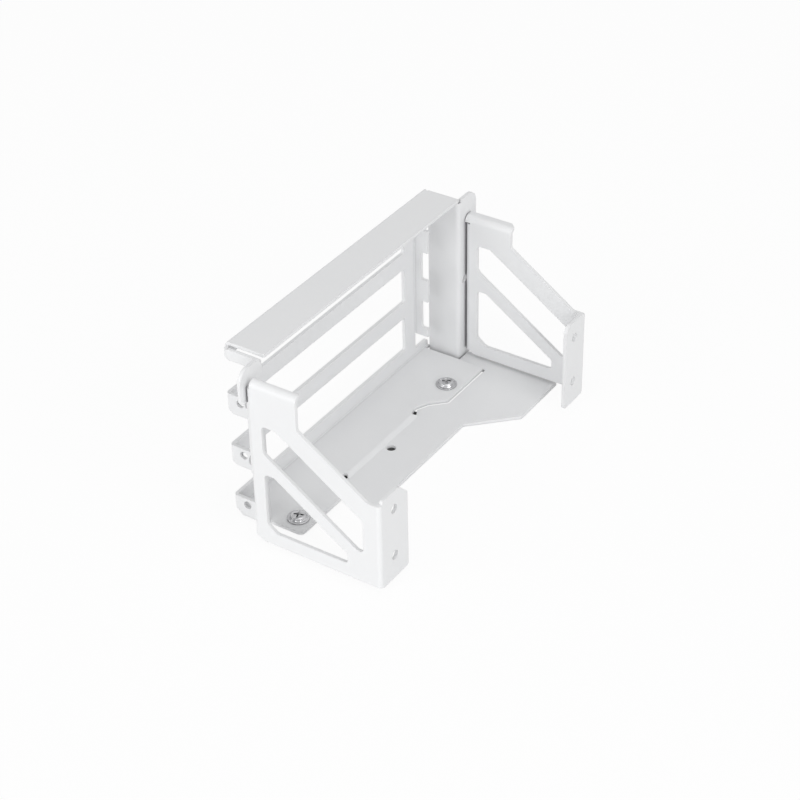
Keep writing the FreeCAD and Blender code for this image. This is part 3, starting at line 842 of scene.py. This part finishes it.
@dataclass(frozen=True)
class PhotoCamera:
    """The camera at the photograph's place and angle."""

    aim: tuple[float, float, float] = (-1.75 * MM, 3.1 * MM, 22.4 * MM)
    azimuth: float = 33.9848
    elevation: float = 35.0828
    roll: float = -1.1613
    distance: float = 696.3 * MM
    side_step: float = 4.0 * MM
    rise: float = 1.34 * MM
    lens: float = 92.512
    sensor: float = 36.0
    nearest: float = 0.01
    farthest: float = 20.0

    def build(self) -> None:
        """Makes the camera and gives it to the scene."""
        turn = math.radians(self.azimuth)
        tilt = math.radians(self.elevation)
        roll = math.radians(self.roll)
        ahead = Vector((
            -math.sin(turn) * math.cos(tilt),
            math.cos(turn) * math.cos(tilt),
            -math.sin(tilt),
        ))
        level = Vector((math.cos(turn), math.sin(turn), 0))
        upright = level.cross(ahead)
        right = level * math.cos(roll) + upright * math.sin(roll)
        up = upright * math.cos(roll) - level * math.sin(roll)
        eye = Vector(self.aim) - right * self.side_step - up * self.rise - ahead * self.distance
        lens = bpy.data.cameras.new("photo camera")
        lens.lens = self.lens
        lens.sensor_width = self.sensor
        lens.clip_start = self.nearest
        lens.clip_end = self.farthest
        made = bpy.data.objects.new("photo camera", lens)
        made.matrix_world = Matrix((
            (right.x, up.x, -ahead.x, eye.x),
            (right.y, up.y, -ahead.y, eye.y),
            (right.z, up.z, -ahead.z, eye.z),
            (0, 0, 0, 1),
        ))
        bpy.context.scene.collection.objects.link(made)
        bpy.context.scene.camera = made


@dataclass(frozen=True)
class Softbox:
    """One rectangular lamp that looks at a point."""

    name: str
    place: tuple[float, float, float]
    size: tuple[float, float]
    watts: float
    aim: tuple[float, float, float] = (0.0, 0.0, 0.03)

    def build(self) -> None:
        """Makes the lamp."""
        lamp = bpy.data.lights.new(self.name, "AREA")
        lamp.shape = "RECTANGLE"
        lamp.size, lamp.size_y = self.size
        lamp.energy = self.watts
        made = bpy.data.objects.new(self.name, lamp)
        made.location = self.place
        away = Vector(self.place) - Vector(self.aim)
        made.rotation_mode = "QUATERNION"
        made.rotation_quaternion = away.to_track_quat("Z", "Y")
        bpy.context.scene.collection.objects.link(made)


@dataclass(frozen=True)
class Studio:
    """White floor with painted shadow spots under the shelf's holes, even surroundings and four
    softboxes.
    """

    floor_half: float = 6.0
    floor_drop: float = 0.05 * MM
    floor_shade_share: float = 0.08
    floor_paint: tuple[float, float, float] = (0.92, 0.92, 0.92)
    # Painted shadow spots on the floor under the shelf's hole and reliefs, as (x, y, radius).
    painted_shadow_spots: tuple[tuple[float, float, float], ...] = (
        (-8.0 * MM, -0.8 * MM, 4.0 * MM),
        (-12.4 * MM, -22.1 * MM, 2.2 * MM),
        (-12.4 * MM, 20.4 * MM, 2.2 * MM),
    )
    painted_shadow_level: float = 0.015
    surround: float = 0.49
    boxes: tuple[Softbox, ...] = (
        Softbox("front softbox", (-0.45, -1.25, 0.55), (1.1, 0.7), 4.9),
        Softbox("low softbox", (0.25, -1.35, 0.20), (1.2, 0.4), 3.9),
        Softbox("side softbox", (1.25, -0.35, 0.75), (0.8, 0.8), 6.9),
        Softbox("overhead softbox", (0.10, -0.10, 1.40), (1.0, 1.0), 3.0),
    )

    def seen_directly(self, graph: Graph) -> bpy.types.NodeSocket:
        """1 for rays that show the surroundings: from the camera, in gloss and through glass."""
        rays = graph.add("ShaderNodeLightPath").outputs
        direct = graph.work_out("MAXIMUM", rays["Is Camera Ray"], rays["Is Glossy Ray"])
        return graph.work_out("MAXIMUM", direct, rays["Is Transmission Ray"])

    def build_world(self) -> None:
        """White to look at, and a plain level of light from all round."""
        world = bpy.data.worlds.new("studio surround")
        world.use_nodes = True
        world.node_tree.nodes.clear()
        graph = Graph(world.node_tree)
        level = graph.add("ShaderNodeMapRange", {
            "Value": self.seen_directly(graph), "To Min": self.surround, "To Max": 1.0,
        })
        light = graph.add("ShaderNodeBackground", {
            "Color": WHITE, "Strength": level.outputs["Result"],
        })
        graph.add("ShaderNodeOutputWorld", {"Surface": light.outputs["Background"]})
        bpy.context.scene.world = world

    def open_floor(self, graph: Graph) -> bpy.types.NodeSocket:
        """1 on the floor that lies open, 0 on the painted shadow spots under the shelf's hole and
        reliefs.
        """
        place = graph.add("ShaderNodeTexCoord").outputs["Object"]
        shown = 1.0
        for x, y, radius in self.painted_shadow_spots:
            apart = graph.add("ShaderNodeVectorMath", {
                0: place, 1: (x, y, -self.floor_drop),
            }, operation="DISTANCE")
            outside = graph.work_out("GREATER_THAN", apart.outputs["Value"], radius)
            shown = graph.work_out("MULTIPLY", shown, outside)
        return shown

    def build_floor(self) -> None:
        """Large white floor that keeps a faint shadow, with painted shadow spots under the shelf's
        holes.
        """
        half = self.floor_half
        mesh = bpy.data.meshes.new("studio floor")
        corners = [(-half, -half), (half, -half), (half, half), (-half, half)]
        mesh.from_pydata([(x, y, -self.floor_drop) for x, y in corners], [], [(0, 1, 2, 3)])
        floor = bpy.data.objects.new("studio_floor", mesh)
        bpy.context.scene.collection.objects.link(floor)
        paint = bpy.data.materials.new("studio floor")
        paint.use_nodes = True
        paint.node_tree.nodes.clear()
        graph = Graph(paint.node_tree)
        matt = graph.add("ShaderNodeBsdfDiffuse", {"Color": (*self.floor_paint, 1)})
        # Painted shadow: the floor's white glow drops almost to nothing on the spots under the shelf's
        # hole and reliefs.
        level = graph.add("ShaderNodeMapRange", {
            "Value": self.open_floor(graph), "To Min": self.painted_shadow_level, "To Max": 1.0,
        })
        white = graph.add("ShaderNodeEmission", {
            "Color": WHITE, "Strength": level.outputs["Result"],
        })
        glow = graph.work_out("MULTIPLY", self.seen_directly(graph), 1.0 - self.floor_shade_share)
        mixed = graph.add("ShaderNodeMixShader", {
            0: glow, 1: matt.outputs["BSDF"], 2: white.outputs["Emission"],
        })
        graph.add("ShaderNodeOutputMaterial", {"Surface": mixed.outputs["Shader"]})
        mesh.materials.append(paint)

    def build(self) -> None:
        """Makes the surroundings, the floor and the lamps."""
        self.build_world()
        self.build_floor()
        for box in self.boxes:
            box.build()
        bpy.context.scene.view_settings.view_transform = "Standard"


def main() -> None:
    """Builds the camera, the object and the studio."""
    logging.basicConfig(level=logging.INFO, format="%(name)s: %(message)s")
    PhotoCamera().build()
    shop = Workshop()
    SlottedFrame().build(shop)
    for end in ("near", "far"):
        TrussArm(end).build(shop)
    Studio().build()


if __name__ == "__main__":
    main()
